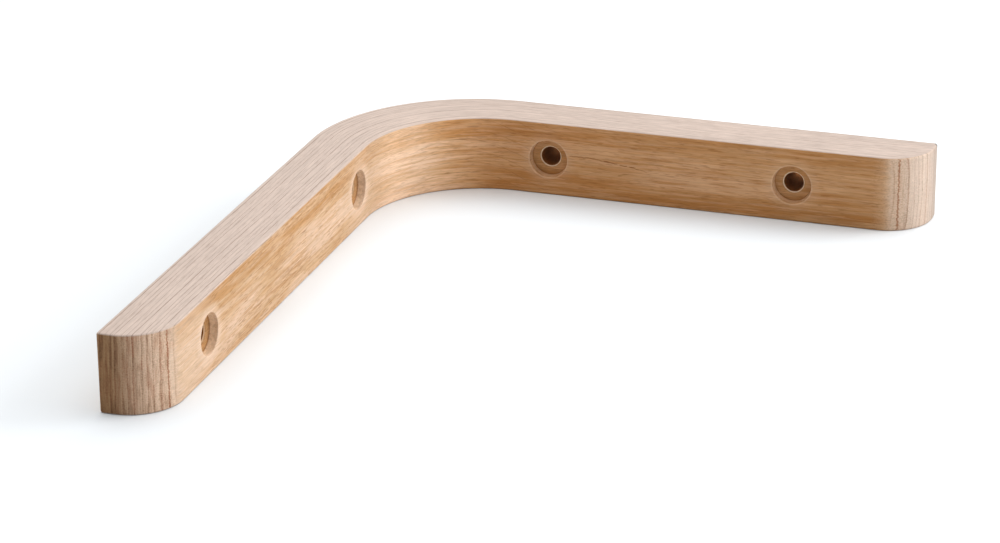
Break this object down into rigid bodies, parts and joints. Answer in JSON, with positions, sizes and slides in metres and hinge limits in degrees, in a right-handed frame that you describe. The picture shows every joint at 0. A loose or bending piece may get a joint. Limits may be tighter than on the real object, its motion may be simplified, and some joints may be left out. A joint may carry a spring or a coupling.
{
  "type": "bentwood shelf bracket",
  "caption": "L-shaped shelf bracket bent from one strap of pale hardwood, with rounded leg ends and counterbored screw holes in both legs.",
  "frame": {"origin": "on the wall leg's outer face, midway between its two screw holes and in the middle of the strap's width", "axes": "+Z across the strap's width, so the bracket lies on a narrow side face as pictured; -X out of the wall face, towards the wall; the wall leg along Y with the bend at its +Y end; the shelf leg off along +X with its shelf face towards +Y"},
  "size_m": [0.1575, 0.1816, 0.02],
  "materials": {
    "pale_hardwood": "matte"
  },
  "bodies": {
    "root": {"bentwood_bracket": "pale_hardwood"}
  },
  "joints": []
}
